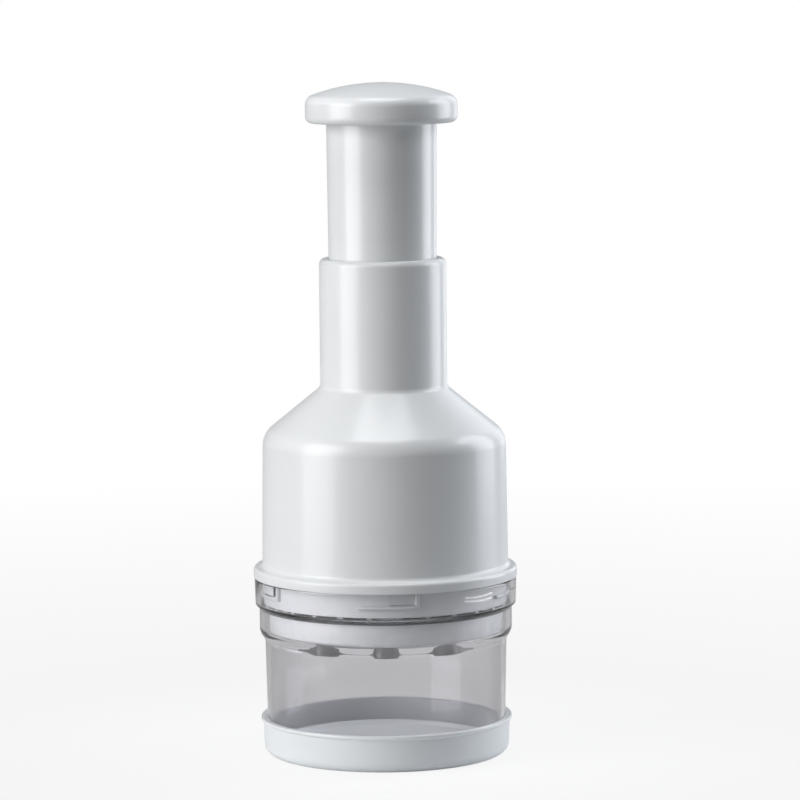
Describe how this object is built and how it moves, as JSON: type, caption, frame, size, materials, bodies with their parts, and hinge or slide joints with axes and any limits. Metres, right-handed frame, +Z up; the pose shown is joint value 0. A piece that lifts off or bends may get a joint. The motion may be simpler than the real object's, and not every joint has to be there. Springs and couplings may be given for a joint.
{
  "type": "plunger food chopper",
  "caption": "Plunger food chopper: a sprung palm knob pushes a zigzag blade, turned a little at each stroke, through a wiper disc into a clear twist-on jar with a push-on base.",
  "frame": {"origin": "centre of the base cup's foot, on the table", "axes": "+Z up along the plunger, -Y towards the camera of the picture, +X to its right"},
  "size_m": [0.0864, 0.0864, 0.22],
  "materials": {
    "base_plastic": "glossy white moulded plastic",
    "jar_plastic": "clear moulded plastic, polished",
    "housing_plastic": "glossy white moulded plastic",
    "knob_plastic": "glossy white moulded plastic",
    "tube_plastic": "glossy white moulded plastic",
    "wiper_plastic": "glossy white moulded plastic",
    "ring_plastic": "glossy white moulded plastic",
    "inner_plastic": "plain white moulded plastic",
    "carrier_plastic": "plain white moulded plastic",
    "crown_plastic": "smooth low-friction plastic",
    "bush_plastic": "smooth low-friction plastic",
    "blade_steel": "polished stainless steel, ground edge",
    "shaft_steel": "drawn stainless steel",
    "spring_steel": "spring wire",
    "plain_steel": "plain stainless steel",
    "stop_rubber": "soft black rubber"
  },
  "bodies": {
    "base": {"base_cup": "base_plastic"},
    "jar": {"jar": "jar_plastic"},
    "bell": {"housing": "housing_plastic", "guide_plate": "inner_plastic", "fixed_crown": "crown_plastic", "shaft_bush": "bush_plastic", "guide_screws": "plain_steel", "stop_ring": "stop_rubber", "retaining_ring": "ring_plastic", "spring_washer": "plain_steel", "return_spring": "spring_steel"},
    "plunger": {"knob": "knob_plastic", "plunger_tube": "tube_plastic", "shaft": "shaft_steel", "knob_pin": "plain_steel", "push_crown": "crown_plastic", "crown_pin": "plain_steel"},
    "rotor": {"blade_carrier": "carrier_plastic", "rotor_cap": "crown_plastic", "blade_strip": "blade_steel", "blade_rivets": "plain_steel"},
    "wiper": {"wiper": "wiper_plastic"}
  },
  "joints": [
    {"name": "jar_lift", "type": "slide", "parent": "base", "child": "jar", "axis": [0, 0, 1], "range_m": [0, 0.02]},
    {"name": "bayonet_turn", "type": "hinge", "parent": "jar", "child": "bell", "pos_m": [0, 0, 0.0586], "axis": [0, 0, 1], "range_deg": [0, 28]},
    {"name": "plunger_slide", "type": "slide", "parent": "bell", "child": "plunger", "axis": [0, 0, -1], "range_m": [0, 0.0315], "stiffness_N_per_m": 330, "springref_m": -0.04, "deforming": ["return_spring"]},
    {"name": "blade_turn", "type": "hinge", "parent": "plunger", "child": "rotor", "pos_m": [0, 0, 0.0836], "axis": [0, 0, 1], "range_deg": [0, 15]},
    {"name": "wiper_turn", "type": "hinge", "parent": "bell", "child": "wiper", "pos_m": [0, 0, 0.0399], "axis": [0, 0, 1], "range_deg": [0, 15]}
  ],
  "couplings": [
    {"joint": "blade_turn", "follows": "plunger_slide", "rad_per_m": 8.311},
    {"joint": "wiper_turn", "follows": "plunger_slide", "rad_per_m": 8.311}
  ]
}
